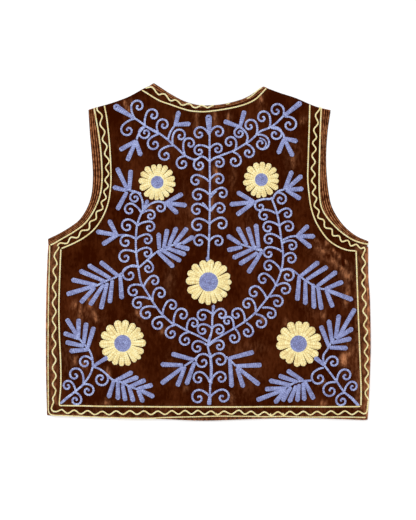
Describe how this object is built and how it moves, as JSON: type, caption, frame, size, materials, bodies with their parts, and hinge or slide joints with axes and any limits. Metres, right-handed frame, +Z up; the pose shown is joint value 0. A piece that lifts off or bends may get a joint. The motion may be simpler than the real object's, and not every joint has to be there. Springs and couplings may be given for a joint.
{
  "type": "embroidered waistcoat laid flat",
  "caption": "Brown velvet waistcoat laid flat with its back uppermost, embroidered with blue scrolling vines, cream daisies and a cream wave border",
  "frame": {"origin": "On the surface that the waistcoat lies on, under the middle of its outline", "axes": "+Z up, away from the surface; +Y towards the neck; +X towards the viewer's right when the back is seen from above with the neck away from the viewer"},
  "size_m": [0.4702, 0.4876, 0.0093],
  "materials": {
    "velvet": "cut pile with a soft sheen",
    "band_velvet": "row-stitched cut pile",
    "blue_thread": "soft twisted thread",
    "cream_thread": "soft twisted thread"
  },
  "bodies": {
    "root": {"back": "velvet", "front_left": "velvet", "front_right": "velvet", "armhole_band_left": "band_velvet", "armhole_band_right": "band_velvet", "front_armhole_band_left": "band_velvet", "front_armhole_band_right": "band_velvet", "neck_band": "band_velvet"}
  },
  "joints": []
}
